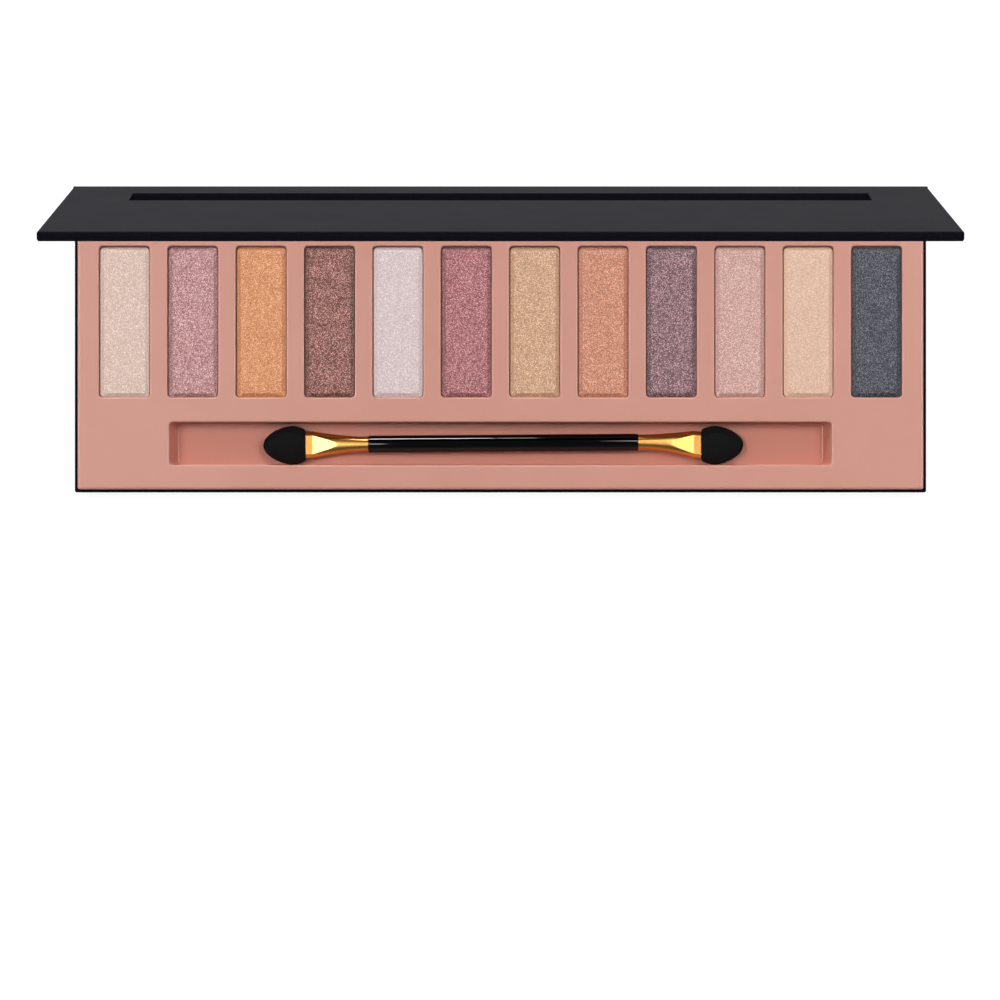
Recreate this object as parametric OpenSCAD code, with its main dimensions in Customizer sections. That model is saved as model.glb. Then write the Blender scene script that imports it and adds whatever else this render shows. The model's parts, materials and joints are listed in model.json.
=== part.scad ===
// Slim eyeshadow palette: a wrapped-board book case with a moulded tray of pressed powders
// and a double-ended sponge applicator. The origin is the centre of the case's underside,
// +X runs along the case to the right, +Y towards the hinge and +Z up.

/* [Case] */
// Length of the case along the row of pans
case_w = 180; // [160:1:220]
// Depth of the case from its front edge to the spine
case_d = 58.9; // [52:0.1:80]
// Height of the board frame between the base panel and the tray
frame_h = 4.55; // [4.4:0.05:8]
// Thickness of the frame's walls with their paper
wall_t = 1.8; // [1.4:0.1:2.4]
// Plan radius of the case's wrapped corners
corner_r = 0.5; // [0.3:0.05:0.55]
// How far each crease is opened from the closed case, in degrees
fold = 38; // [0:1:90]

/* [Board and paper] */
// Greyboard core of the base, spine and lid panels
board_t = 1.4; // [1.2:0.1:2]
// Laminated wrap paper with its glue
paper_t = 0.25; // [0.2:0.01:0.3]
// Paper lining on the inner faces of lid and spine, with the turned-in wrap under it
liner_t = 0.25; // [0.1:0.01:0.3]
// Gap between the board of one panel and the next at a crease
crease_gap = 0.2; // [0.15:0.01:0.3]

/* [Tray] */
// Thickness of the tray's top deck
deck_t = 1.2; // [1:0.05:1.6]
// Rim of the black frame left showing round the tray
reveal = 0.55; // [0.4:0.05:0.8]
// Rounding of the tray's top edge
deck_r = 0.6; // [0.4:0.05:0.8]
// Wall thickness of the moulded pockets
skin = 1; // [0.8:0.05:1.1]
// Gap between the tray and the closed lid
lid_gap = 0.2; // [0.15:0.05:0.5]

/* [Pans] */
// Deck left between the tray's ends and the first and last pan
end_margin = 4.76; // [4:0.01:7]
// Deck left behind the pans
back_margin = 4.23; // [4:0.01:7]
// Bar between two pans
pan_bar = 3.78; // [3.2:0.01:4.5]
// Height of a tinplate pan
pan_h = 3; // [2.4:0.1:3.2]
// Sheet thickness of a pan
pan_t = 0.3; // [0.2:0.05:0.4]
// Plan radius of a pocket's corners
pocket_r = 0.8; // [0.5:0.05:1.2]
// Gap round a pan in its pocket
pan_gap = 0.1; // [0.05:0.01:0.2]
// Height of the pressed powder above its pan's rim
powder_rise = 0.4; // [0.3:0.05:0.5]
// Width of the pressed powder's sloping margin
powder_bevel = 0.9; // [0.5:0.05:1.3]
// Height of the pressed powder's sloping margin
powder_slope = 0.25; // [0.15:0.01:0.3]

/* [Applicator well] */
// Deck left in front of the well
front_margin = 5.35; // [4.5:0.05:7]
// Deck left between the well and the pans
middle_margin = 5.15; // [4:0.01:7]
// Deck left at each end of the well
well_end = 19.5; // [15:0.1:24]
// Width of the well
well_w = 8.9; // [8.7:0.05:11]
// Plan radius of the well's corners
well_r = 0.85; // [0.5:0.05:1.5]
// How far each end wall of the well slopes in towards the floor
well_draft = 1.4; // [0.5:0.1:2.5]

/* [Lid] */
// Distance from the lid's hinge line to its window
window_back = 9.8; // [8:0.1:14]
// Width of the window across the lid
window_w = 9.4; // [7:0.1:16]
// Board left at each end of the window
window_end = 13.6; // [10:0.1:24]
// Thickness of the clear film
film_t = 0.15; // [0.1:0.01:0.25]
// How far the film reaches past the window's edge
film_lap = 3; // [2:0.1:5]

/* [Applicator] */
// Length of the handle between the ferrules
handle_l = 57.1; // [40:0.1:60]
// Diameter of the handle
handle_d = 3.7; // [3:0.05:4]
// Length of a ferrule
ferrule_l = 13.3; // [10:0.1:14]
// Width of a ferrule where the foam starts
ferrule_w = 5.8; // [5:0.1:6.4]
// Thickness of a ferrule's flat end
ferrule_flat = 1.9; // [1.6:0.05:2.4]
// Where the ferrule's pressed facet starts, as a share of its taper
facet_start = 0.45; // [0.3:0.05:0.7]
// Length of a foam tip
tip_l = 9; // [7:0.1:10]
// Width of a foam tip
tip_w = 8.3; // [7:0.1:8.4]
// Thickness of a foam tip
tip_t = 4.1; // [3:0.1:4.3]
// Turn of the applicator as it lies in the well, in degrees
applicator_turn = 0.4; // [0:0.1:0.5]
// How far the left end bends towards the front of the well
lean_left = 0.1; // [0:0.05:0.3]
// How far the right end bends towards the front of the well
lean_right = 0.7; // [0:0.05:0.8]

/* [Magnets] */
// Diameter of the closing magnets
magnet_d = 8; // [6:0.5:9]
// Thickness of the closing magnets
magnet_t = 1.2; // [0.8:0.1:1.2]

/* [Hidden] */
$fn = 48;
pan_names = ["01", "02", "03", "04", "05", "06", "07", "08", "09", "10", "11", "12"];
powder_colours = ["#DEC5B8", "#C39695", "#DD9C73", "#9C6E67", "#DBC9C9", "#B37B7C",
    "#D3AA8C", "#D0947C", "#96777B", "#D4ACA2", "#E2BEA8", "#5B5C65"];

black = "#1E1F21";
grey_board = "#8C857A";
pink = "#CE9585";
gold = "#D6A24A";
foam_black = "#19161A";

eps = 0.01;
cut = 1;                                            // how far a cutter runs past a face

// Heights of the closed case, from the table up
base_top = paper_t + board_t;
frame_top = base_top + frame_h;
deck_top = frame_top + deck_t;
lid_under = deck_top + lid_gap;
lid_board_under = lid_under + liner_t;
lid_board_top = lid_board_under + board_t;
closed_h = lid_board_top + paper_t;

// Plan of the case
half_w = case_w / 2;
front_y = -case_d / 2;
back_y = case_d / 2;
panel_t = paper_t + board_t + liner_t;
spine_in = back_y - panel_t;                        // inner face of the closed spine
frame_back = spine_in - 1.5 * crease_gap;           // back face of the frame
board_back = back_y - paper_t - 0.75 * crease_gap;  // back edge of base and lid boards

// Crease lines, through the middle of the wrap paper
crease_y = back_y - paper_t / 2;
crease_low = paper_t / 2;
crease_high = closed_h - paper_t / 2;
crease_clear = 0.01;                                // paper of the spine to the crease bead

// Tray
tray_half = half_w - reveal;
tray_w = 2 * tray_half;
tray_front = front_y + reveal;
tray_back = frame_back - reveal;
pan_count = len(pan_names);
pocket_w = (tray_w - 2 * end_margin - (pan_count - 1) * pan_bar) / pan_count;
pan_pitch = pocket_w + pan_bar;
pocket_back = tray_back - back_margin;
well_front = tray_front + front_margin;
well_back = well_front + well_w;
pocket_front = well_back + middle_margin;
pocket_l = pocket_back - pocket_front;
pocket_y = (pocket_front + pocket_back) / 2;
well_half = tray_half - well_end;
well_floor = base_top + skin;
lip_t = 0.8;                                        // locating lip inside the frame
lip_h = 2;
lip_gap = 0.15;
rib_t = 1;

// Pans and powders
pan_w = pocket_w - 2 * pan_gap;
pan_l = pocket_l - 2 * pan_gap;
pan_r = pocket_r - pan_gap;
powder_top = deck_top - 0.4;
pan_rim = powder_top - powder_rise;
pan_floor = pan_rim - pan_h;

// Magnets
magnet_x = half_w - wall_t - lip_gap - lip_t - magnet_d / 2 - skin - 1.5;
magnet_y = (well_front + well_back) / 2;
magnet_gap = 0.05;

// Applicator, lying in the well
app_x = 0.6;
app_y = (well_front + well_back) / 2 + 0.05;
float_gap = 0.05;                                   // foam to floor and front wall
app_z = well_floor + float_gap + tip_t / 2;
spigot_l = 3;
spigot_d = handle_d - 0.8;
stem_w = 2.6;
stem_t = 0.8;
stem_in_foam = 0.55 * tip_l;
stem_in_ferrule = 4;
crimp_l = 1.5;
ring_n = 32;

function pan_x(i) = (i - (pan_count - 1) / 2) * pan_pitch;

// Flat outline between two corners with rounded corners
module plan(x0, y0, x1, y1, r) {
    translate([x0 + r, y0]) square([x1 - x0 - 2 * r, y1 - y0]);
    translate([x0, y0 + r]) square([x1 - x0, y1 - y0 - 2 * r]);
    for (x = [x0 + r, x1 - r], y = [y0 + r, y1 - r])
        translate([x, y]) circle(r = r);
}

// Panel outline: rounded at the front, square at the hinge
module panel_plan(x_half, y0, y1, r) {
    translate([-x_half + r, y0]) square([2 * (x_half - r), y1 - y0]);
    translate([-x_half, y0 + r]) square([2 * x_half, y1 - y0 - r]);
    for (x = [-x_half + r, x_half - r])
        translate([x, y0 + r]) circle(r = r);
}

// Box between two corners
module block(a, b) {
    translate(a) cube([b[0] - a[0], b[1] - a[1], b[2] - a[2]]);
}

// Moves what is drawn on the closed spine and lid to where the open case holds it
module on_spine() {
    translate([0, crease_y, crease_low]) rotate([-fold, 0, 0])
        translate([0, -crease_y, -crease_low]) children();
}

module on_lid() {
    on_spine() translate([0, crease_y, crease_high]) rotate([-fold, 0, 0])
        translate([0, -crease_y, -crease_high]) children();
}

// Rounded line of a crease in the wrap paper
module crease_bead(z) {
    translate([-half_w, crease_y, z]) rotate([0, 90, 0]) cylinder(d = paper_t, h = case_w);
}

// Base panel
module base_board() {
    color(grey_board) block(
        [-half_w + paper_t, front_y + paper_t, paper_t],
        [half_w - paper_t, board_back, base_top]);
}

module base_wrap() {
    color(black) {
        difference() {
            linear_extrude(base_top) panel_plan(half_w, front_y, crease_y, corner_r);
            block([-half_w + paper_t, front_y + paper_t, paper_t],
                [half_w - paper_t, back_y, closed_h]);
            block([-half_w - cut, board_back, paper_t], [half_w + cut, back_y, closed_h]);
        }
        crease_bead(crease_low);
    }
}

// Frame of four board strips under one paper band
wall_in_x = half_w - wall_t;
wall_top = frame_top - paper_t;
module wall_front() {
    color(grey_board) block(
        [-half_w + paper_t, front_y + paper_t, base_top],
        [half_w - paper_t, front_y + wall_t, wall_top]);
}

module wall_back() {
    color(grey_board) block(
        [-half_w + paper_t, frame_back - wall_t, base_top],
        [half_w - paper_t, frame_back - paper_t, wall_top]);
}

module wall_side(x0, x1) {
    color(grey_board) block([x0, front_y + wall_t, base_top], [x1, frame_back - wall_t, wall_top]);
}

module wall_left() {
    wall_side(-half_w + paper_t, -wall_in_x);
}

module wall_right() {
    wall_side(wall_in_x, half_w - paper_t);
}

module frame_wrap() {
    color(black) translate([0, 0, base_top]) difference() {
        linear_extrude(frame_h) plan(-half_w, front_y, half_w, frame_back, corner_r);
        block([-half_w + paper_t, front_y + paper_t, -cut],
            [half_w - paper_t, frame_back - paper_t, frame_h - paper_t]);
        block([-wall_in_x, front_y + wall_t, -cut], [wall_in_x, frame_back - wall_t, frame_h + cut]);
    }
}

// Moulded tray
module deck() {
    z = deck_t - deck_r;
    x = tray_half - deck_r;
    y0 = tray_front + deck_r;
    y1 = tray_back - deck_r;
    translate([0, 0, frame_top]) {
        linear_extrude(z) plan(-tray_half, tray_front, tray_half, tray_back, deck_r);
        block([-x, y0, 0], [x, y1, deck_t]);
        for (y = [y0, y1])
            translate([-x, y, z]) rotate([0, 90, 0]) cylinder(r = deck_r, h = 2 * x);
        for (sx = [-x, x])
            translate([sx, y0, z]) rotate([-90, 0, 0]) cylinder(r = deck_r, h = y1 - y0);
        for (sx = [-x, x], y = [y0, y1])
            translate([sx, y, z]) sphere(r = deck_r);
    }
}

// Space of the well, grown by a wall on its sides and ends
module well_space(wall, floor_z, top_z) {
    x_top = well_half + wall;
    x_low = x_top - well_draft * (deck_top - floor_z) / (deck_top - well_floor);
    intersection() {
        translate([0, 0, floor_z]) linear_extrude(top_z - floor_z)
            plan(-x_top, well_front - wall, x_top, well_back + wall, well_r + wall / 2);
        translate([0, well_back + 2 * wall + cut, 0]) rotate([90, 0, 0])
            linear_extrude(well_w + 4 * wall + 2 * cut) polygon([
                [-x_low, floor_z], [x_low, floor_z], [x_top, deck_top], [x_top, top_z],
                [-x_top, top_z], [-x_top, deck_top]]);
    }
}

module pocket(i, wall, floor_z, top_z) {
    translate([pan_x(i), 0, floor_z]) linear_extrude(top_z - floor_z)
        plan(-pocket_w / 2 - wall, pocket_front - wall, pocket_w / 2 + wall, pocket_back + wall,
            pocket_r + wall / 2);
}

module locating_lip() {
    x = wall_in_x - lip_gap;
    y0 = front_y + wall_t + lip_gap;
    y1 = frame_back - wall_t - lip_gap;
    translate([0, 0, frame_top - lip_h]) linear_extrude(lip_h) difference() {
        plan(-x, y0, x, y1, corner_r);
        plan(-x + lip_t, y0 + lip_t, x - lip_t, y1 - lip_t, corner_r);
    }
}

module magnet_seats() {
    seat_h = magnet_t + 0.3;
    for (sx = [-magnet_x, magnet_x])
        translate([sx, magnet_y, frame_top - seat_h]) difference() {
            cylinder(d = magnet_d + 2 * (magnet_gap + skin), h = seat_h);
            translate([0, 0, -cut]) cylinder(d = magnet_d + 2 * magnet_gap, h = seat_h + cut);
        }
}

module tray() {
    color(pink) difference() {
        union() {
            deck();
            locating_lip();
            magnet_seats();
            well_space(skin, base_top, frame_top + eps);
            for (i = [0 : pan_count - 1])
                pocket(i, skin, pan_floor - skin, frame_top + eps);
            for (y = [pocket_front + pocket_l / 4, pocket_back - pocket_l / 4])
                block([pan_x(0), y - rib_t / 2, base_top],
                    [pan_x(pan_count - 1), y + rib_t / 2, pan_floor - skin / 2]);
        }
        well_space(0, well_floor, deck_top + cut);
        for (i = [0 : pan_count - 1])
            pocket(i, 0, pan_floor, deck_top + cut);
    }
}

module magnet(x, z) {
    color("silver") translate([x, magnet_y, z]) cylinder(d = magnet_d, h = magnet_t);
}

module tray_magnet_left() {
    magnet(-magnet_x, frame_top - magnet_t);
}

module tray_magnet_right() {
    magnet(magnet_x, frame_top - magnet_t);
}

// Tinplate pan
module pan(i) {
    color("silver") translate([pan_x(i), pocket_y, pan_floor]) difference() {
        linear_extrude(pan_h) plan(-pan_w / 2, -pan_l / 2, pan_w / 2, pan_l / 2, pan_r);
        translate([0, 0, pan_t]) linear_extrude(pan_h)
            plan(-pan_w / 2 + pan_t, -pan_l / 2 + pan_t, pan_w / 2 - pan_t, pan_l / 2 - pan_t,
                pan_r - pan_t);
    }
}

// Solid with a level top and four sloping margins, long along Y
module bevelled_slab(w, l, z0, z1, z2, bevel) {
    intersection() {
        translate([0, l / 2, 0]) rotate([90, 0, 0]) linear_extrude(l) polygon([
            [-w / 2, z0], [w / 2, z0], [w / 2, z1], [w / 2 - bevel, z2],
            [-w / 2 + bevel, z2], [-w / 2, z1]]);
        translate([-w / 2, 0, 0]) rotate([90, 0, 90]) linear_extrude(w) polygon([
            [-l / 2, z0], [l / 2, z0], [l / 2, z1], [l / 2 - bevel, z2],
            [-l / 2 + bevel, z2], [-l / 2, z1]]);
        translate([0, 0, z0]) linear_extrude(z2 - z0) plan(-w / 2, -l / 2, w / 2, l / 2, pan_r);
    }
}

// Powder pressed into its pan and over the rim
module powder(i) {
    color(powder_colours[i]) translate([pan_x(i), pocket_y, 0]) {
        translate([0, 0, pan_floor + pan_t]) linear_extrude(pan_h - pan_t)
            plan(-pan_w / 2 + pan_t, -pan_l / 2 + pan_t, pan_w / 2 - pan_t, pan_l / 2 - pan_t,
                pan_r - pan_t);
        bevelled_slab(pan_w, pan_l, pan_rim, powder_top - powder_slope, powder_top, powder_bevel);
    }
}

// Spine panel
spine_z0 = base_top + crease_gap;
spine_z1 = lid_under - crease_gap;
module spine_board() {
    color(grey_board) on_spine() block(
        [-half_w + paper_t, spine_in + liner_t, spine_z0],
        [half_w - paper_t, back_y - paper_t, spine_z1]);
}

module spine_wrap() {
    z0 = crease_low + paper_t / 2 + crease_clear;
    z1 = crease_high - paper_t / 2 - crease_clear;
    color(black) on_spine() {
        block([-half_w, back_y - paper_t, z0], [half_w, back_y, z1]);
        for (x = [-half_w, half_w - paper_t])
            block([x, spine_in + liner_t, spine_z0], [x + paper_t, back_y - paper_t + eps, spine_z1]);
    }
}

module spine_liner() {
    color(black) on_spine() block(
        [-half_w + paper_t, spine_in, spine_z0], [half_w - paper_t, spine_in + liner_t, spine_z1]);
}

// Lid panel, drawn closed
window_half = half_w - window_end;
window_y1 = crease_y - window_back;
window_y0 = window_y1 - window_w;

module window_plan(grow) {
    translate([-window_half - grow, window_y0 - grow])
        square([2 * (window_half + grow), window_w + 2 * grow]);
}

module lid_board() {
    color(grey_board) on_lid() difference() {
        block([-half_w + paper_t, front_y + paper_t, lid_board_under],
            [half_w - paper_t, board_back, lid_board_top]);
        translate([0, 0, lid_board_under - cut]) linear_extrude(board_t + 2 * cut)
            window_plan(paper_t);
        translate([0, 0, lid_board_under - cut]) linear_extrude(cut + film_t)
            window_plan(film_lap + crease_gap);
        for (sx = [-magnet_x, magnet_x])
            translate([sx, magnet_y, lid_board_under - cut])
                cylinder(d = magnet_d + 2 * magnet_gap, h = cut + magnet_t);
    }
}

module lid_wrap() {
    color(black) on_lid() {
        difference() {
            translate([0, 0, lid_board_under]) linear_extrude(closed_h - lid_board_under)
                panel_plan(half_w, front_y, crease_y, corner_r);
            block([-half_w + paper_t, front_y + paper_t, 0],
                [half_w - paper_t, back_y, lid_board_top]);
            block([-half_w - cut, board_back, 0], [half_w + cut, back_y, lid_board_top]);
            linear_extrude(closed_h + cut) window_plan(0);
        }
        translate([0, 0, lid_board_under + film_t]) linear_extrude(lid_board_top - lid_board_under
            - film_t + eps) difference() {
            window_plan(paper_t);
            window_plan(0);
        }
        crease_bead(crease_high);
    }
}

module lid_liner() {
    inset = 0.2;
    color(black) on_lid() translate([0, 0, lid_under]) linear_extrude(liner_t) difference() {
        plan(-half_w + inset, front_y + inset, half_w - inset, board_back - 3 * inset, corner_r);
        window_plan(0);
    }
}

module window_film() {
    color([0.9, 0.95, 1, 0.3]) on_lid() translate([0, 0, lid_board_under])
        linear_extrude(film_t) window_plan(film_lap);
}

module lid_magnet_left() {
    on_lid() magnet(-magnet_x, lid_board_under);
}

module lid_magnet_right() {
    on_lid() magnet(magnet_x, lid_board_under);
}

// Applicator, drawn along X with its middle at the origin
module in_well() {
    translate([app_x, app_y, app_z]) rotate([0, 0, applicator_turn]) children();
}

// Ring of points across X round y: an oval of half width w and half thickness t, pressed
// flat at half thickness f
function pressed_ring(x, y, w, t, f) = [for (k = [0 : ring_n - 1])
    let (a = 360 * (k + 0.5) / ring_n, edge = asin(f / t), q = a % 180,
        b = q < 60 ? q * edge / 60 : 180 - (180 - q) * edge / 60,
        c = q < 60 || q > 120 ? cos(b) : cos(edge) * (90 - q) / 30,
        h = q < 60 || q > 120 ? t * sin(b) : f, side = a < 180 ? 1 : -1)
    [x, y + side * w * c, side * h]];

// Ring of points across X round y: a full oval of half width w and half thickness t
function oval_ring(x, y, w, t) = [for (k = [0 : ring_n - 1])
    let (a = 360 * (k + 0.5) / ring_n, c = cos(a), s = sin(a))
    [x, y + w * sign(c) * pow(abs(c), 0.8), t * sign(s) * pow(abs(s), 0.8)]];

// Skin through a list of rings, closed at both ends
module loft(rings) {
    n = len(rings[0]);
    last = len(rings) - 1;
    sides = [for (j = [0 : last - 1], k = [0 : n - 1])
        [j * n + k, j * n + (k + 1) % n, (j + 1) * n + (k + 1) % n, (j + 1) * n + k]];
    ends = [[for (k = [n - 1 : -1 : 0]) k], [for (k = [0 : n - 1]) last * n + k]];
    polyhedron(points = [for (r = rings) each r], faces = concat(sides, ends));
}

module handle() {
    chamfer = 0.2;
    color(black) in_well() rotate([0, 90, 0]) {
        translate([0, 0, -handle_l / 2 - spigot_l])
            cylinder(d = spigot_d, h = handle_l + 2 * spigot_l);
        rotate_extrude() polygon([
            [0, -handle_l / 2], [handle_d / 2 - chamfer, -handle_l / 2],
            [handle_d / 2, -handle_l / 2 + chamfer], [handle_d / 2, handle_l / 2 - chamfer],
            [handle_d / 2 - chamfer, handle_l / 2], [0, handle_l / 2]]);
    }
}

// How far an end has bent towards the front at x along its ferrule
function lean(side) = side < 0 ? lean_left : lean_right;
function bend(side, x) = -lean(side) * pow(min(1, x / ferrule_l), 2);

// Ferrule from its handle end at x = 0: a round tube that flares, with a facet pressed into
// its top and bottom down to the crimped band
ferrule_r = handle_d / 2 - 0.2;
crimp_r = 1.37 * ferrule_flat / 2;
function ferrule_ring(side, x) =
    let (u = min(1, x / (ferrule_l - crimp_l)),
        w = ferrule_r + (ferrule_w / 2 - ferrule_r) * pow(u, 1.8),
        t = ferrule_r + (crimp_r - ferrule_r) * pow(u, 1.6),
        v = max(0, (u - facet_start) / (1 - facet_start)))
    pressed_ring(x, bend(side, x), w, t,
        min(0.995 * t, ferrule_r + (ferrule_flat / 2 - ferrule_r) * v));

module ferrule(side) {
    steps = 12;
    difference() {
        loft([for (j = [0 : steps]) ferrule_ring(side, j * (ferrule_l - crimp_l) / steps),
            ferrule_ring(side, ferrule_l)]);
        translate([-cut, 0, 0]) rotate([0, 90, 0]) cylinder(d = spigot_d, h = spigot_l + cut);
        stem(side);
    }
}

module at_ferrule(side) {
    in_well() mirror([side < 0 ? 1 : 0, 0, 0]) translate([handle_l / 2, 0, 0]) children();
}

module ferrule_left() {
    color(gold) at_ferrule(-1) ferrule(-1);
}

module ferrule_right() {
    color(gold) at_ferrule(1) ferrule(1);
}

// Flat tongue that carries the foam
module stem(side) {
    translate([ferrule_l - stem_in_ferrule, -lean(side) - stem_w / 2, -stem_t / 2])
        cube([stem_in_ferrule + stem_in_foam, stem_w, stem_t]);
}

module stem_left() {
    color(black) at_ferrule(-1) stem(-1);
}

module stem_right() {
    color(black) at_ferrule(1) stem(1);
}

// Foam tip from the ferrule's end: swells quickly, then narrows to a blunt round end
function tip_ring(side, x) =
    let (swell = tip_l / 3, u = max(0, (x - swell) / (tip_l - swell)), v = min(1, x / swell),
        neck_w = ferrule_w / 2 + 0.4, neck_t = ferrule_flat / 2 + 0.4,
        rise = pow(sin(90 * v), 0.8))
    oval_ring(ferrule_l + x, -lean(side),
        v < 1 ? neck_w + (tip_w / 2 - neck_w) * rise : tip_w / 2 * sqrt(1 - pow(u, 1.5)),
        v < 1 ? neck_t + (tip_t / 2 - neck_t) * rise : tip_t / 2 * sqrt(1 - pow(u, 1.8)));

module sponge(side) {
    steps = 14;
    blunt = 0.997;
    difference() {
        at_ferrule(side) difference() {
            loft([for (j = [0 : steps]) tip_ring(side, blunt * tip_l * sin(90 * j / steps))]);
            stem(side);
        }
        block([-half_w, front_y, 0], [half_w, well_front + float_gap, closed_h]);
    }
}

module sponge_left() {
    color(foam_black) sponge(-1);
}

module sponge_right() {
    color(foam_black) sponge(1);
}

base_board();
base_wrap();
wall_front();
wall_back();
wall_left();
wall_right();
frame_wrap();
tray();
tray_magnet_left();
tray_magnet_right();
for (i = [0 : pan_count - 1]) {
    pan(i);
    powder(i);
}
spine_board();
spine_wrap();
spine_liner();
lid_board();
lid_wrap();
lid_liner();
window_film();
lid_magnet_left();
lid_magnet_right();
handle();
ferrule_left();
ferrule_right();
stem_left();
stem_right();
sponge_left();
sponge_right();
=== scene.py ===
import json
import math

import bpy
from mathutils import Matrix, Vector, noise

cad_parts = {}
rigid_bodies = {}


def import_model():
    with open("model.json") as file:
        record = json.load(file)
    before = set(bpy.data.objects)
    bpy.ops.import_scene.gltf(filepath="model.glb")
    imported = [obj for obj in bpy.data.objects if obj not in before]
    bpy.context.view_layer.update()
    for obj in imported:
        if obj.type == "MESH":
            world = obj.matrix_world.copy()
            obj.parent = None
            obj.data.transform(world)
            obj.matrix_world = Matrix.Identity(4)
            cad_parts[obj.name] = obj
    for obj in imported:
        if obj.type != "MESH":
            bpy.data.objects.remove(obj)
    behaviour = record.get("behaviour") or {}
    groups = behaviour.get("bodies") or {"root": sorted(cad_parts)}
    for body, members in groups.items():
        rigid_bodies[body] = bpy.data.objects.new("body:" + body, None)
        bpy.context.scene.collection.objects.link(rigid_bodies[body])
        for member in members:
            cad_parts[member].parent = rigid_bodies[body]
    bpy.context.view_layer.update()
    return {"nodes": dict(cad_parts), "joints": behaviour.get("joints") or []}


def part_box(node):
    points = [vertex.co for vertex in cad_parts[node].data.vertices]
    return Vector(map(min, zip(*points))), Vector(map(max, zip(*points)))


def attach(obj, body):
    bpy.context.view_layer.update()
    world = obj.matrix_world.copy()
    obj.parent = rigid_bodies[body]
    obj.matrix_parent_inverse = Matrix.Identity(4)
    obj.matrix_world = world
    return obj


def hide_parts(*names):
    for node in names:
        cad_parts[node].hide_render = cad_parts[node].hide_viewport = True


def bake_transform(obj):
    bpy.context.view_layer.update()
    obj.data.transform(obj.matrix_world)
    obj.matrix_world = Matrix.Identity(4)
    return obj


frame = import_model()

mm = 0.001
joints = {j["name"]: j for j in frame["joints"]}


def corners(node):
    low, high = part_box(node)
    return Vector(low), Vector(high)


baseLow, baseHigh = corners("base_wrap")
frameLow, frameHigh = corners("frame_wrap")
trayLow, trayHigh = corners("tray")
creaseLow = Vector(joints["spine_fold"]["pos_m"])     # through the middle of the wrap paper
creaseHigh = Vector(joints["lid_fold"]["pos_m"])      # the same, where the open case holds it
spineLength = (creaseHigh - creaseLow).length
fold = -math.radians(joints["spine_fold"]["range_deg"][0])   # each crease stands this far open
creaseHighShut = creaseLow + Vector((0, 0, spineLength))
halfWidth = baseHigh.x
frontEdge = baseLow.y
paper = 2 * creaseLow.z
closedHeight = creaseHighShut.z + paper / 2

# closed case to open case, for what is drawn on the spine and on the lid
spineOpen = (Matrix.Translation(creaseLow) @ Matrix.Rotation(-fold, 4, "X")
             @ Matrix.Translation(-creaseLow))
lidOpen = (Matrix.Translation(creaseHigh) @ Matrix.Rotation(-2 * fold, 4, "X")
           @ Matrix.Translation(-creaseHighShut))


def deselectAll():
    if bpy.context.object and bpy.context.object.mode != "OBJECT":
        bpy.ops.object.mode_set(mode="OBJECT")
    bpy.ops.object.select_all(action="DESELECT")


def activate(obj):
    deselectAll()
    obj.select_set(True)
    bpy.context.view_layer.objects.active = obj


def applyPlace(obj):
    activate(obj)
    bpy.ops.object.transform_apply(location=True, rotation=True, scale=True)


def addSlab(name, low, high):
    deselectAll()
    bpy.ops.mesh.primitive_cube_add(size=1, location=(low + high) / 2)
    slab = bpy.context.object
    slab.name = slab.data.name = name
    slab.scale = high - low
    applyPlace(slab)
    return slab


def pick(obj, kind, test):
    # leaves obj in edit mode with the vertices, edges or faces selected whose middle passes
    activate(obj)
    bpy.ops.object.mode_set(mode="EDIT")
    bpy.ops.mesh.select_mode(type=kind)
    bpy.ops.mesh.select_all(action="DESELECT")
    bpy.ops.object.mode_set(mode="OBJECT")
    points = [v.co.copy() for v in obj.data.vertices]
    if kind == "FACE":
        for face in obj.data.polygons:
            face.select = test(face.center, face.normal)
    elif kind == "EDGE":
        for edge in obj.data.edges:
            a, b = points[edge.vertices[0]], points[edge.vertices[1]]
            edge.select = test((a + b) / 2, (b - a).normalized())
    else:
        for vertex in obj.data.vertices:
            vertex.select = test(vertex.co, None)
    bpy.ops.object.mode_set(mode="EDIT")


def leaveEdit():
    bpy.ops.object.mode_set(mode="OBJECT")


def near(a, b, reach=1e-6):
    return abs(a - b) < reach


def bisectAt(obj, point, normal):
    activate(obj)
    bpy.ops.object.mode_set(mode="EDIT")
    bpy.ops.mesh.select_all(action="SELECT")
    bpy.ops.mesh.bisect(plane_co=point, plane_no=normal)
    leaveEdit()


def applyModifier(obj, kind, **settings):
    activate(obj)
    modifier = obj.modifiers.new(kind.title(), kind)
    for key, value in settings.items():
        setattr(modifier, key, value)
    bpy.ops.object.modifier_apply(modifier=modifier.name)


def smooth(obj, degrees=30, flats=False):
    # flats keeps broad faces flat up to their rounded edges
    activate(obj)
    bpy.ops.object.shade_smooth_by_angle(angle=math.radians(degrees), keep_sharp_edges=False)
    if flats:
        applyModifier(obj, "WEIGHTED_NORMAL", mode="FACE_AREA", weight=100, keep_sharp=True)


def faceOutwards(obj):
    activate(obj)
    bpy.ops.object.mode_set(mode="EDIT")
    bpy.ops.mesh.select_all(action="SELECT")
    bpy.ops.mesh.remove_doubles(threshold=1e-7)
    bpy.ops.mesh.normals_make_consistent(inside=False)
    leaveEdit()


def joinAll(objs, name):
    deselectAll()
    for obj in objs:
        obj.select_set(True)
    bpy.context.view_layer.objects.active = objs[0]
    bpy.ops.object.join()
    objs[0].name = objs[0].data.name = name
    return objs[0]


def finishPiece(obj, material, body=None, stands=()):
    obj.data.materials.clear()
    obj.data.materials.append(material)
    if body:
        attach(obj, body)
    if stands:
        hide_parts(*stands)
    return obj


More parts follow.
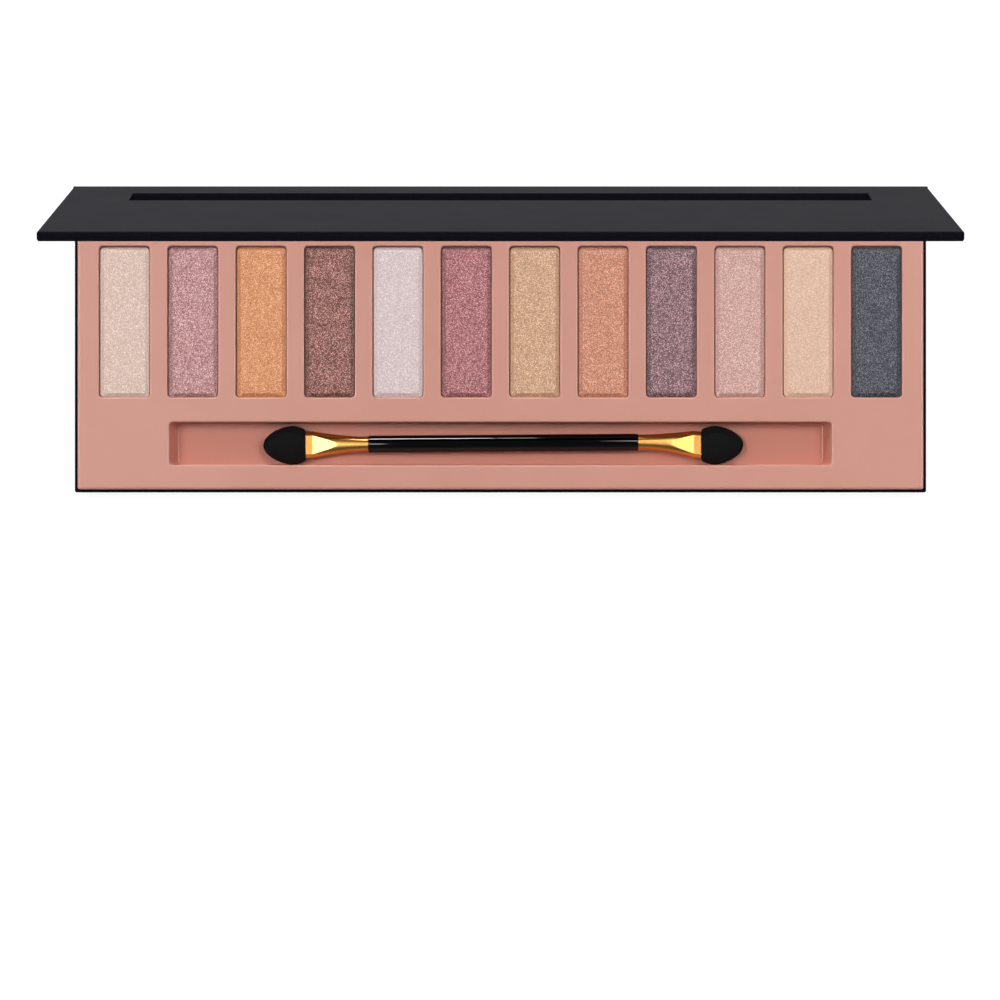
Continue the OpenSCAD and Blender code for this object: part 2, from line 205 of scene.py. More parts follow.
def linear(code, alpha=1.0):
    # an sRGB hex colour as Blender's linear one
    parts = [int(code[k:k + 2], 16) / 255 for k in (1, 3, 5)]
    return [p / 12.92 if p <= 0.04045 else ((p + 0.055) / 1.055) ** 2.4 for p in parts] + [alpha]


def addNode(tree, kind, settings=None, links=None):
    # settings: socket or property values; links: socket name -> (node, output)
    item = tree.nodes.new(kind)
    for key, value in (settings or {}).items():
        if isinstance(key, int) or key in item.inputs:
            item.inputs[key].default_value = value
        else:
            setattr(item, key, value)
    for key, (source, output) in (links or {}).items():
        tree.links.new(source.outputs[output], item.inputs[key])
    return item


def startMaterial(name, **shaderValues):
    material = bpy.data.materials.new(name)
    material.use_nodes = True
    tree = material.node_tree
    shader = tree.nodes["Principled BSDF"]
    for key, value in shaderValues.items():
        shader.inputs[key.replace("_", " ")].default_value = value
    place = addNode(tree, "ShaderNodeTexCoord")
    return material, tree, shader, place


def setRamp(ramp, stops):
    elements = ramp.color_ramp.elements
    while len(elements) < len(stops):
        elements.new(0.5)
    for element, (position, colour) in zip(elements, stops):
        element.position = position
        element.color = colour


def mixColours(tree, share, first, second):
    # share and first are (node, output); second is a linear colour
    return addNode(tree, "ShaderNodeMixRGB", {"Color2": second}, {"Fac": share, "Color1": first})


def wrapPaperMaterial():
    # Art paper under a matt laminate: deep black, soft wide sheen, faint fibre under the film
    look = {"face": "#0d0c13", "fibre": "#14131b", "fibreMm": 0.35, "waveMm": 9}
    material, tree, shader, place = startMaterial("LaminatedArtPaper", Specular_IOR_Level=0.014)
    fibre = addNode(tree, "ShaderNodeTexNoise",
                    {"Scale": 1 / (look["fibreMm"] * mm), "Detail": 3, "Roughness": 0.6},
                    {"Vector": (place, "Object")})
    wave = addNode(tree, "ShaderNodeTexNoise",
                   {"Scale": 1 / (look["waveMm"] * mm), "Detail": 2}, {"Vector": (place, "Object")})
    ramp = addNode(tree, "ShaderNodeValToRGB", links={"Fac": (fibre, "Fac")})
    setRamp(ramp, [(0.35, linear(look["face"])), (0.75, linear(look["fibre"]))])
    tree.links.new(ramp.outputs["Color"], shader.inputs["Base Color"])
    rough = addNode(tree, "ShaderNodeMapRange", {"To Min": 0.49, "To Max": 0.54},
                    {"Value": (wave, "Fac")})
    tree.links.new(rough.outputs["Result"], shader.inputs["Roughness"])
    bump = addNode(tree, "ShaderNodeBump", {"Strength": 0.12, "Distance": 0.02 * mm},
                   {"Height": (fibre, "Fac")})
    tree.links.new(bump.outputs["Normal"], shader.inputs["Normal"])
    return material


def trayPlasticMaterial():
    # Polystyrene from a satin-blasted mould: even pigment, soft highlight, faint blast texture
    # and painted shade: a darker, fuller colour deeper down in the pockets and the well
    look = {"face": "#c88d7d", "flow": "#c58978", "drawn": "#cb806b", "blastMm": 0.18, "flowMm": 16,
            "recessShadeFrom": 0.5 * mm, "recessShadeTo": 2.0 * mm}      # below the deck's face
    material, tree, shader, place = startMaterial("MouldedPolystyrene", IOR=1.53)
    flow = addNode(tree, "ShaderNodeTexNoise",
                   {"Scale": 1 / (look["flowMm"] * mm), "Detail": 2}, {"Vector": (place, "Object")})
    ramp = addNode(tree, "ShaderNodeValToRGB", links={"Fac": (flow, "Fac")})
    setRamp(ramp, [(0.3, linear(look["flow"])), (0.7, linear(look["face"]))])
    height = addNode(tree, "ShaderNodeSeparateXYZ", links={"Vector": (place, "Object")})
    # painted shade: from 0.5 to 2 mm below the deck's face the colour turns to the darker, fuller
    # recess one
    depth = addNode(tree, "ShaderNodeMapRange",
                    {"From Min": trayHigh.z - look["recessShadeFrom"],
                     "From Max": trayHigh.z - look["recessShadeTo"]},
                    {"Value": (height, "Z")})
    colour = mixColours(tree, (depth, "Result"), (ramp, "Color"), linear(look["drawn"]))
    tree.links.new(colour.outputs["Color"], shader.inputs["Base Color"])
    blast = addNode(tree, "ShaderNodeTexNoise", {"Scale": 1 / (look["blastMm"] * mm), "Detail": 2},
                    {"Vector": (place, "Object")})
    rough = addNode(tree, "ShaderNodeMapRange", {"To Min": 0.34, "To Max": 0.44},
                    {"Value": (blast, "Fac")})
    tree.links.new(rough.outputs["Result"], shader.inputs["Roughness"])
    bump = addNode(tree, "ShaderNodeBump", {"Strength": 0.1, "Distance": 0.01 * mm},
                   {"Height": (blast, "Fac")})
    tree.links.new(bump.outputs["Normal"], shader.inputs["Normal"])
    return material


def shimmerPowderMaterial(name, dark, face, glint, seed):
    # Pressed powder with mica flakes: each flake is a cell with its own brightness and tilt.
    # The flakes are 0.11 mm across, about the real size. On the sloping margin the colour is
    # painted shade: the margin setting is how far it goes to the cake's dark one as the slope turns
    # away.
    look = {"flakeMm": 0.11, "cakeMm": 2.5, "margin": 0.45, "shift": (13.7 * mm, 7.1 * mm)}
    shiftX, shiftY = look["shift"]          # no two pans show the same stretch of the pattern
    material, tree, shader, place = startMaterial("PressedMica" + name, Roughness=0.5)
    shift = addNode(tree, "ShaderNodeMapping", {"Location": (seed * shiftX, seed * shiftY, 0)},
                    {"Vector": (place, "Object")})
    flakes = addNode(tree, "ShaderNodeTexVoronoi", {"Scale": 1 / (look["flakeMm"] * mm)},
                     {"Vector": (shift, "Vector")})
    flakeBits = addNode(tree, "ShaderNodeSeparateColor", links={"Color": (flakes, "Color")})
    cakeTone = addNode(tree, "ShaderNodeTexNoise",
                       {"Scale": 1 / (look["cakeMm"] * mm), "Detail": 4},
                       {"Vector": (shift, "Vector")})
    tone = addNode(tree, "ShaderNodeMath", {"operation": "MULTIPLY_ADD", 1: 0.2},
                   {0: (cakeTone, "Fac"), 2: (flakeBits, "Red")})
    # painted glint: the top end of the ramp paints the brightest flakes in the glint colour, over
    # their random tone
    ramp = addNode(tree, "ShaderNodeValToRGB", links={"Fac": (tone, "Value")})
    setRamp(ramp, [(0.1, linear(dark)), (0.45, linear(face)), (0.8, linear(face)),
                   (1.0, linear(glint))])
    # painted shade: as the surface tilts from level, the colour goes towards the cake's dark one
    facing = addNode(tree, "ShaderNodeSeparateXYZ", links={"Vector": (place, "Normal")})
    slope = addNode(tree, "ShaderNodeMapRange",
                    {"From Min": 0.995, "From Max": 0.965, "To Max": look["margin"]},
                    {"Value": (facing, "Z")})
    colour = mixColours(tree, (slope, "Result"), (ramp, "Color"), linear(dark))
    tree.links.new(colour.outputs["Color"], shader.inputs["Base Color"])
    metal = addNode(tree, "ShaderNodeMapRange",
                    {"From Min": 0.6, "From Max": 1.0, "To Min": 0.05, "To Max": 0.5},
                    {"Value": (flakeBits, "Green")})
    tree.links.new(metal.outputs["Result"], shader.inputs["Metallic"])
    tilt = addNode(tree, "ShaderNodeBump", {"Strength": 0.5, "Distance": 0.04 * mm},
                   {"Height": (flakeBits, "Blue")})
    lumps = addNode(tree, "ShaderNodeBump", {"Strength": 0.3, "Distance": 0.05 * mm},
                    {"Height": (cakeTone, "Fac"), "Normal": (tilt, "Normal")})
    tree.links.new(lumps.outputs["Normal"], shader.inputs["Normal"])
    return material


def ferruleMaterial():
    # Aluminium tube, drawn and anodised gold: bright under a clear coat, with fine lines along it
    look = {"dark": "#e0a04a", "pale": "#e6a852", "lineMm": 0.4, "stretch": 25}
    material, tree, shader, place = startMaterial(
        "GoldAnodisedAluminium", Metallic=1.0, Coat_Weight=1.0, Coat_Roughness=0.15)
    lines = addNode(tree, "ShaderNodeMapping", {"Scale": (1 / look["stretch"], 1, 1)},
                    {"Vector": (place, "Object")})
    grain = addNode(tree, "ShaderNodeTexNoise", {"Scale": 1 / (look["lineMm"] * mm), "Detail": 2},
                    {"Vector": (lines, "Vector")})
    ramp = addNode(tree, "ShaderNodeValToRGB", links={"Fac": (grain, "Fac")})
    setRamp(ramp, [(0.3, linear(look["dark"])), (0.7, linear(look["pale"]))])
    tree.links.new(ramp.outputs["Color"], shader.inputs["Base Color"])
    rough = addNode(tree, "ShaderNodeMapRange", {"To Min": 0.24, "To Max": 0.28},
                    {"Value": (grain, "Fac")})
    tree.links.new(rough.outputs["Result"], shader.inputs["Roughness"])
    return material


def handleMaterial():
    # ABS rod dipped in black lacquer: black and wet-looking, with a trace of orange peel
    look = {"face": "#020203", "peelMm": 1.6}
    material, tree, shader, place = startMaterial(
        "LacqueredABS", Base_Color=linear(look["face"]), Roughness=0.05)
    peel = addNode(tree, "ShaderNodeTexNoise", {"Scale": 1 / (look["peelMm"] * mm), "Detail": 1},
                   {"Vector": (place, "Object")})
    bump = addNode(tree, "ShaderNodeBump", {"Strength": 0.06, "Distance": 0.02 * mm},
                   {"Height": (peel, "Fac")})
    tree.links.new(bump.outputs["Normal"], shader.inputs["Normal"])
    return material


def foamMaterial():
    # Latex foam dyed black: matt, open cells of about 0.2 mm, with painted shade darker in each
    # cell's pit
    look = {"pitShade": "#060506", "face": "#0f0d0f", "cellMm": 0.22}
    material, tree, shader, place = startMaterial(
        "LatexFoam", Roughness=0.95, Specular_IOR_Level=0.25)
    cells = addNode(tree, "ShaderNodeTexVoronoi", {"Scale": 1 / (look["cellMm"] * mm)},
                    {"Vector": (place, "Object")})
    # painted shade: each cell turns darker towards its pit, where the bump is lowest
    ramp = addNode(tree, "ShaderNodeValToRGB", links={"Fac": (cells, "Distance")})
    setRamp(ramp, [(0.1, linear(look["pitShade"])), (0.7, linear(look["face"]))])
    tree.links.new(ramp.outputs["Color"], shader.inputs["Base Color"])
    bump = addNode(tree, "ShaderNodeBump", {"Strength": 0.5, "Distance": 0.06 * mm},
                   {"Height": (cells, "Distance")})
    tree.links.new(bump.outputs["Normal"], shader.inputs["Normal"])
    return material


def boardMaterial(name, dark, pale):
    # Recycled board, die cut: matt, with layered fibres on the cut edge. The panels' board is
    # dyed black through, as its edges show at the creases; the frame's stays grey.
    look = {"layerMm": 0.3, "stretch": 4}
    material, tree, shader, place = startMaterial(name, Roughness=0.9)
    layers = addNode(tree, "ShaderNodeMapping",
                     {"Scale": (1 / look["stretch"], 1 / look["stretch"], 1)},
                     {"Vector": (place, "Object")})
    fibre = addNode(tree, "ShaderNodeTexNoise", {"Scale": 1 / (look["layerMm"] * mm), "Detail": 5},
                    {"Vector": (layers, "Vector")})
    ramp = addNode(tree, "ShaderNodeValToRGB", links={"Fac": (fibre, "Fac")})
    setRamp(ramp, [(0.3, linear(dark)), (0.7, linear(pale))])
    tree.links.new(ramp.outputs["Color"], shader.inputs["Base Color"])
    bump = addNode(tree, "ShaderNodeBump", {"Strength": 0.4, "Distance": 0.05 * mm},
                   {"Height": (fibre, "Fac")})
    tree.links.new(bump.outputs["Normal"], shader.inputs["Normal"])
    return material


def platedMaterial(name, code, rough, grainMm):
    # Tinplate, painted dark as the shade in the slot round each cake, and nickel plate: metal with
    # a fine rolled or tumbled grain
    material, tree, shader, place = startMaterial(name, Metallic=1.0, Base_Color=linear(code))
    grain = addNode(tree, "ShaderNodeTexNoise", {"Scale": 1 / (grainMm * mm), "Detail": 3},
                    {"Vector": (place, "Object")})
    spread = addNode(tree, "ShaderNodeMapRange", {"To Min": rough - 0.06, "To Max": rough + 0.08},
                     {"Value": (grain, "Fac")})
    tree.links.new(spread.outputs["Result"], shader.inputs["Roughness"])
    return material


def filmMaterial():
    # Clear PET sheet: glassy, with the faint waviness of thin film
    look = {"tint": "#f4f8fa", "waveMm": 12}
    material, tree, shader, place = startMaterial(
        "ClearPET", Base_Color=linear(look["tint"]), Roughness=0.03, IOR=1.45,
        Transmission_Weight=1.0)
    wave = addNode(tree, "ShaderNodeTexNoise", {"Scale": 1 / (look["waveMm"] * mm), "Detail": 1},
                   {"Vector": (place, "Object")})
    bump = addNode(tree, "ShaderNodeBump", {"Strength": 0.05, "Distance": 0.1 * mm},
                   {"Height": (wave, "Fac")})
    tree.links.new(bump.outputs["Normal"], shader.inputs["Normal"])
    return material


def stemMaterial():
    # Natural polypropylene, moulded: milky and slightly waxy
    look = {"shade": "#dedcd6", "face": "#ecebe6", "cloudMm": 2}
    material, tree, shader, place = startMaterial("NaturalPolypropylene", Roughness=0.45)
    cloud = addNode(tree, "ShaderNodeTexNoise", {"Scale": 1 / (look["cloudMm"] * mm)},
                    {"Vector": (place, "Object")})
    ramp = addNode(tree, "ShaderNodeValToRGB", links={"Fac": (cloud, "Fac")})
    setRamp(ramp, [(0.3, linear(look["shade"])), (0.7, linear(look["face"]))])
    tree.links.new(ramp.outputs["Color"], shader.inputs["Base Color"])
    return material


# Each powder's colours, from the left: between the flakes, the cake itself and a bright flake's
# painted glint
powderShades = [
    ("#bb9f90", "#d2b6a7", "#fbe8de"),      # champagne
    ("#6d3837", "#b17a7a", "#ffdad9"),      # mauve pink
    ("#a35a30", "#d38a5d", "#ffc998"),      # orange copper
    ("#260000", "#79453c", "#f0b5a9"),      # warm brown
    ("#b8a5a4", "#d0bcbc", "#f6e7e7"),      # silvery white
    ("#59211f", "#9b5b5d", "#f8b7ba"),      # rose
    ("#996d4f", "#c59979", "#ffd8b7"),      # gold
    ("#955438", "#c18065", "#ffc2a5"),      # coral copper
    ("#2a0d0f", "#765458", "#e5b9c0"),      # plum taupe
    ("#9f7469", "#c69a90", "#f9d5cb"),      # pale pink
    ("#c19b80", "#d8b29b", "#f5d3be"),      # pale gold
    ("#06060c", "#343540", "#868897"),      # slate blue
]

wrapPaper = wrapPaperMaterial()
trayPlastic = trayPlasticMaterial()
ferruleGold = ferruleMaterial()
handleLacquer = handleMaterial()
foam = foamMaterial()
greyboard = boardMaterial("DieCutGreyboard", "#7d776d", "#9a9387")
blackBoard = boardMaterial("DyedBlackBoard", "#121215", "#1c1c20")
# painted shade: the pans' dark maroon tin stands in for the shade in the narrow slot round each
# cake
tinplate = platedMaterial("DustedTinplate", "#54433e", 0.5, 0.4)
nickel = platedMaterial("NickelPlate", "#b9b8b2", 0.25, 0.6)
clearFilm = filmMaterial()
stemPlastic = stemMaterial()
print("materials made")


# stripReach: from a crease to where its strip of paper meets a cover; boardSetback: from a
# crease to the edge of a cover's board; blendReach: how far each side of a crease bends with it
panel = {"edgeRound": 0.4 * mm, "roundSteps": 4, "board": 1.4 * mm, "lining": 0.25 * mm,
         "wall": 1.8 * mm, "creaseGap": 0.2 * mm, "creaseBend": 0.45 * mm,
         "stripReach": 1.175 * mm, "boardSetback": 0.275 * mm, "blendReach": 1.0 * mm}
# liningBack: from the upper crease to the lining's edge
lidPanel = {"windowEnd": 13.6 * mm, "windowBack": 9.8 * mm, "windowWide": 9.4 * mm,
            "windowRound": 0.18 * mm, "film": 0.15 * mm, "liningInset": 0.2 * mm,
            "liningBack": 0.875 * mm, "liningRound": 0.04 * mm}
lidBoardUnder = closedHeight - paper - panel["board"]
boardBack = creaseLow.y - panel["boardSetback"]
stripStart = creaseLow.y - panel["stripReach"]
spineLow = paper + panel["board"] + panel["creaseGap"]
spineHigh = lidBoardUnder - panel["lining"] - panel["creaseGap"]
windowHalf = halfWidth - lidPanel["windowEnd"]
windowBack = creaseLow.y - lidPanel["windowBack"]
windowFront = windowBack - lidPanel["windowWide"]


def wrapShell(name, low, high, openTop, windowDepth=0):
    # paper over one face of a board panel, turned over its front and side edges; a lid's is
    # also turned in at the window, by windowDepth
    shell = addSlab(name, low, high)
    outer, inner = (low.z, high.z) if openTop else (high.z, low.z)
    pick(shell, "FACE", lambda c, n: near(c.z, inner) or near(c.y, high.y))
    bpy.ops.mesh.delete(type="FACE")
    pick(shell, "EDGE", lambda c, d: (near(c.z, outer) and not near(c.y, high.y))
         or (abs(d.z) > 0.9 and near(c.y, low.y)))
    bpy.ops.mesh.bevel(offset=panel["edgeRound"], segments=panel["roundSteps"], affect="EDGES")
    leaveEdit()
    bisectAt(shell, (0, stripStart, 0), (0, 1, 0))
    pick(shell, "FACE", lambda c, n: near(c.z, outer) and c.y > stripStart)
    bpy.ops.mesh.delete(type="FACE")
    leaveEdit()
    if windowDepth:
        cutWindow(shell, outer, windowDepth)
    applyModifier(shell, "SOLIDIFY", thickness=paper, offset=-1, use_even_offset=True)
    faceOutwards(shell)
    smooth(shell, flats=True)
    return shell


def cutWindow(shell, outer, depth):
    for point, normal in (((windowHalf, 0, 0), (1, 0, 0)), ((-windowHalf, 0, 0), (1, 0, 0)),
                          ((0, windowFront, 0), (0, 1, 0)), ((0, windowBack, 0), (0, 1, 0))):
        bisectAt(shell, point, normal)
    pick(shell, "FACE", lambda c, n: near(c.z, outer) and abs(c.x) < windowHalf
         and windowFront < c.y < windowBack)
    bpy.ops.mesh.extrude_region_move(TRANSFORM_OT_translate={"value": (0, 0, -depth)})
    bpy.ops.mesh.delete(type="FACE")
    leaveEdit()
    pick(shell, "EDGE", lambda c, d: near(c.z, outer) and (
        (near(abs(c.x), windowHalf) and windowFront < c.y < windowBack and abs(d.y) > 0.9)
        or ((near(c.y, windowFront) or near(c.y, windowBack))
            and abs(c.x) < windowHalf and abs(d.x) > 0.9)))
    bpy.ops.mesh.bevel(offset=lidPanel["windowRound"], segments=3, affect="EDGES")
    leaveEdit()


def makeBaseCover():
    cover = wrapShell("baseCover", Vector((-halfWidth, frontEdge, 0)),
                      Vector((halfWidth, boardBack, baseHigh.z)), openTop=True)
    return finishPiece(cover, wrapPaper, "base", ["base_wrap"])


def makeLidCover():
    cover = wrapShell("lidCover", Vector((-halfWidth, frontEdge, lidBoardUnder)),
                      Vector((halfWidth, boardBack, closedHeight)), openTop=False,
                      windowDepth=closedHeight - lidBoardUnder - lidPanel["film"])
    cover.matrix_world = lidOpen
    applyPlace(cover)
    return finishPiece(cover, wrapPaper, "lid", ["lid_wrap"])


def makeLidLining():
    # inner sheet with its own cut-out, glued over the board and the film
    inset = lidPanel["liningInset"]
    low = Vector((-halfWidth + inset, frontEdge + inset, lidBoardUnder - panel["lining"]))
    high = Vector((halfWidth - inset, creaseLow.y - lidPanel["liningBack"], lidBoardUnder))
    lining = addSlab("lidLining", low, high)
    hole = addSlab("hole", Vector((-windowHalf, windowFront, 0)),
                   Vector((windowHalf, windowBack, 2 * closedHeight)))
    applyModifier(lining, "BOOLEAN", object=hole, operation="DIFFERENCE", solver="EXACT")
    bpy.data.objects.remove(hole)
    applyModifier(lining, "BEVEL", width=lidPanel["liningRound"], segments=2,
                  limit_method="ANGLE")
    smooth(lining, flats=True)
    lining.matrix_world = lidOpen
    applyPlace(lining)
    return finishPiece(lining, wrapPaper, "lid", ["lid_liner"])


def makeSpineCover():
    low = Vector((-halfWidth, creaseLow.y - paper / 2 - panel["board"], spineLow))
    high = Vector((halfWidth, creaseLow.y + paper / 2, spineHigh))
    cover = addSlab("spineCover", low, high)
    pick(cover, "FACE", lambda c, n: near(c.y, low.y) or abs(n.z) > 0.9)
    bpy.ops.mesh.delete(type="FACE")
    pick(cover, "EDGE", lambda c, d: abs(d.z) > 0.9 and near(c.y, high.y))
    bpy.ops.mesh.bevel(offset=panel["edgeRound"], segments=panel["roundSteps"], affect="EDGES")
    leaveEdit()
    applyModifier(cover, "SOLIDIFY", thickness=paper, offset=-1, use_even_offset=True)
    faceOutwards(cover)
    smooth(cover, flats=True)
    cover.matrix_world = spineOpen
    applyPlace(cover)
    return finishPiece(cover, wrapPaper, "spine", ["spine_wrap"])


def creasePath(axis, headingIn, headingOut, lengthIn, lengthOut, steps=6):
    # middle of the paper round a crease, as (y, z) points; headings in radians
    def along(angle):
        return Vector((math.cos(angle), math.sin(angle)))

    def right(angle):
        return Vector((math.sin(angle), -math.cos(angle)))

    bend = panel["creaseBend"]
    turn = headingOut - headingIn
    centre = axis - along(headingIn) * bend * math.tan(turn / 2) - right(headingIn) * bend
    points = [axis - along(headingIn) * lengthIn]
    points += [centre + right(headingIn + turn * k / steps) * bend for k in range(steps + 1)]
    points.append(axis + along(headingOut) * lengthOut)
    return points


def paperStrip(name, points, thickness):
    # a strip as long as the case, extruded edge by edge along its bend
    deselectAll()
    bpy.ops.mesh.primitive_plane_add(size=1)
    strip = bpy.context.object
    strip.name = strip.data.name = name
    pick(strip, "VERT", lambda c, n: c.y > 0)
    bpy.ops.mesh.delete(type="VERT")
    leaveEdit()
    strip.scale = (2 * halfWidth, 1, 1)
    strip.location = (0, points[0][0] + 0.5, points[0][1])
    applyPlace(strip)
    pick(strip, "EDGE", lambda c, d: True)
    for a, b in zip(points, points[1:]):
        bpy.ops.mesh.extrude_region_move(
            TRANSFORM_OT_translate={"value": (0, b[0] - a[0], b[1] - a[1])})
    leaveEdit()
    faceOutwards(strip)
    applyModifier(strip, "SOLIDIFY", thickness=thickness, offset=0, use_even_offset=True)
    faceOutwards(strip)
    smooth(strip, 40)
    return strip


def yz(point):
    return Vector((point.y, point.z))


def makeCreases():
    # paper across the two creases, bent round each one as the open case holds it
    spineHeading = math.pi / 2 - fold
    lidHeading = spineHeading + math.pi / 2 - fold
    onPanel, reach = panel["stripReach"], panel["blendReach"]
    low = creasePath(yz(creaseLow), 0, spineHeading, onPanel, spineLow - creaseLow.z)
    lower = paperStrip("lowerCreasePaper", low, paper)
    finishPiece(lower, wrapPaper)
    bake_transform(lower)
    high = creasePath(yz(creaseHigh), spineHeading, lidHeading, creaseHighShut.z - spineHigh,
                      onPanel)
    upper = paperStrip("upperCreasePaper", high, paper)
    finishPiece(upper, wrapPaper)
    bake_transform(upper)


def makeFrameCover():
    # paper band round the frame, turned over its top edge
    cover = addSlab("frameCover", frameLow, frameHigh)
    pick(cover, "FACE", lambda c, n: n.z < -0.9)
    bpy.ops.mesh.delete(type="FACE")
    pick(cover, "EDGE", lambda c, d: near(c.z, frameHigh.z) or abs(d.z) > 0.9)
    bpy.ops.mesh.bevel(offset=panel["edgeRound"], segments=panel["roundSteps"], affect="EDGES")
    leaveEdit()
    pick(cover, "FACE", lambda c, n: near(c.z, frameHigh.z) and n.z > 0.99)
    bpy.ops.mesh.inset(thickness=panel["wall"] - panel["edgeRound"], depth=0)
    bpy.ops.mesh.delete(type="FACE")
    leaveEdit()
    applyModifier(cover, "SOLIDIFY", thickness=paper, offset=-1, use_even_offset=True)
    faceOutwards(cover)
    smooth(cover, flats=True)
    return finishPiece(cover, wrapPaper, "base", ["frame_wrap"])


makeBaseCover()
makeLidCover()
makeLidLining()
makeSpineCover()
makeCreases()
makeFrameCover()
print("case covers made")


# frontGap: from a pocket's front wall to the pan, less than panGap on the other sides; wallLap:
# how far the pockets' skins reach up into the deck; the insets show more of the black frame
tray = {"deck": 1.2 * mm, "edgeRound": 0.45 * mm, "rimRound": 0.32 * mm, "skin": 1.0 * mm,
        "pocketRound": 0.8 * mm, "panGap": 0.1 * mm, "frontGap": 0.02 * mm,
        "wellRound": 0.85 * mm, "wellDraft": 1.4 * mm, "wellEnd": 19.5 * mm,
        "wellWide": 9.05 * mm, "frontMargin": 5.2 * mm, "sideInset": 0.2 * mm,
        "frontInset": 0.1 * mm, "wallLap": 0.3 * mm, "cutPast": 2 * mm}
panCount = len(powderShades)
powderBoxes = [corners("powder_%02d" % (k + 1)) for k in range(panCount)]
panBoxes = [corners("pan_%02d" % (k + 1)) for k in range(panCount)]
wellFront = trayLow.y + tray["frontMargin"]
wellBack = wellFront + tray["wellWide"]
wellHalf = trayHigh.x - tray["wellEnd"]
wellFloor = trayLow.z + tray["skin"]


def roundUprights(block, radius):
    pick(block, "EDGE", lambda c, d: abs(d.z) > 0.7)
    bpy.ops.mesh.bevel(offset=radius, segments=5, affect="EDGES")
    leaveEdit()


def wellBlock(name, wall, floor, top):
    # the well's space, or its outer skin; both end walls lean in towards the floor
    block = addSlab(name, Vector((-wellHalf - wall, wellFront - wall, floor)),
                    Vector((wellHalf + wall, wellBack + wall, top)))
    slope = tray["wellDraft"] * (top - floor) / (trayHigh.z - wellFloor)
    for side in (-1, 1):
        pick(block, "VERT", lambda c, n: near(c.z, floor) and c.x * side > 0)
        bpy.ops.transform.translate(value=(-side * slope, 0, 0))
        leaveEdit()
    roundUprights(block, tray["wellRound"] + wall / 2)
    return block


def pocketBlock(index, wall, floor, top):
    low, high = panBoxes[index]
    grow = wall + tray["panGap"]
    block = addSlab("pocket", Vector((low.x - grow, low.y - wall - tray["frontGap"], floor)),
                    Vector((high.x + grow, high.y + grow, top)))
    roundUprights(block, tray["pocketRound"] + wall / 2)
    return block


def makeTray():
    # the deck with every pocket's outer skin joined on, and then every pocket's space cut out
    deckLow = Vector((trayLow.x + tray["sideInset"], trayLow.y + tray["frontInset"],
                      trayHigh.z - tray["deck"]))
    body = addSlab("trayBody", deckLow, trayHigh - Vector((tray["sideInset"], 0, 0)))
    pick(body, "EDGE", lambda c, d: near(c.z, trayHigh.z) or abs(d.z) > 0.9)
    bpy.ops.mesh.bevel(offset=tray["edgeRound"], segments=5, affect="EDGES")
    leaveEdit()
    panFloor = panBoxes[0][0].z
    under = deckLow.z + tray["wallLap"]
    walls = [pocketBlock(k, tray["skin"], panFloor - tray["skin"], under) for k in range(panCount)]
    walls.append(wellBlock("wellWalls", tray["skin"], trayLow.z, under))
    walls = joinAll(walls, "walls")
    applyModifier(body, "BOOLEAN", object=walls, operation="UNION", solver="EXACT")
    above = trayHigh.z + tray["cutPast"]
    holes = [pocketBlock(k, 0, panFloor, above) for k in range(panCount)]
    holes.append(wellBlock("wellHole", 0, wellFloor, trayHigh.z))
    pick(holes[-1], "FACE", lambda c, n: n.z > 0.9)
    bpy.ops.mesh.extrude_region_move(
        TRANSFORM_OT_translate={"value": (0, 0, tray["cutPast"])})
    leaveEdit()
    holes = joinAll(holes, "holes")
    applyModifier(body, "BOOLEAN", object=holes, operation="DIFFERENCE", solver="EXACT")
    for cutter in (walls, holes):
        bpy.data.objects.remove(cutter)
    applyModifier(body, "BEVEL", width=tray["rimRound"], segments=3, limit_method="ANGLE",
                  angle_limit=math.radians(40), use_clamp_overlap=False)
    smooth(body, flats=True)
    return finishPiece(body, trayPlastic, "base", ["tray"])


makeTray()
print("tray made")


# rise: height over the pan's rim; slot: gap to the tray at the left and the back
cake = {"corner": 0.7 * mm, "bevel": 0.9 * mm, "slope": 0.25 * mm, "panSheet": 0.3 * mm,
        "rise": 0.4 * mm, "soften": 0.16 * mm, "slot": 0.1 * mm}


def makeCake():
    # a cake that stands above its pan, with a sloping margin, a hair clear of the tray at its
    # left and back
    low, high = powderBoxes[0][0].copy(), powderBoxes[0][1].copy()
    low.x += cake["slot"]
    high.y -= cake["slot"]
    rim = high.z - cake["rise"]
    shoulder = high.z - cake["slope"]
    block = addSlab("cake", Vector((low.x, low.y, rim)), Vector((high.x, high.y, shoulder)))
    pick(block, "FACE", lambda c, n: n.z > 0.9)
    bpy.ops.mesh.inset(thickness=cake["bevel"], depth=cake["slope"])
    leaveEdit()
    pick(block, "EDGE", lambda c, d: abs(d.z) > 0.7 or (abs(d.x) > 0.3 and abs(d.y) > 0.3))
    bpy.ops.mesh.bevel(offset=cake["corner"], segments=5, affect="EDGES")
    leaveEdit()
    pick(block, "EDGE", lambda c, d: near(c.z, high.z) and abs(d.z) < 0.1)
    bpy.ops.mesh.bevel(offset=cake["soften"], segments=3, affect="EDGES")
    leaveEdit()
    pick(block, "FACE", lambda c, n: n.z < -0.9)
    bpy.ops.mesh.inset(thickness=cake["panSheet"], depth=0)
    bpy.ops.mesh.extrude_region_move(TRANSFORM_OT_translate={"value": (0, 0, low.z - rim)})
    leaveEdit()
    faceOutwards(block)
    smooth(block, 12, flats=True)
    return block


def makePowders():
    first = makeCake()
    origin = powderBoxes[0][0]
    for k, shade in enumerate(powderShades):
        label = "%02d" % (k + 1)
        piece = first.copy()
        piece.data = first.data.copy()
        piece.name = piece.data.name = "powderCake_" + label
        bpy.context.collection.objects.link(piece)
        piece.data.transform(Matrix.Translation(powderBoxes[k][0] - origin))
        material = shimmerPowderMaterial(label, *shade, seed=k + 1)
        finishPiece(piece, material, "base", ["powder_" + label])
    bpy.data.objects.remove(first)


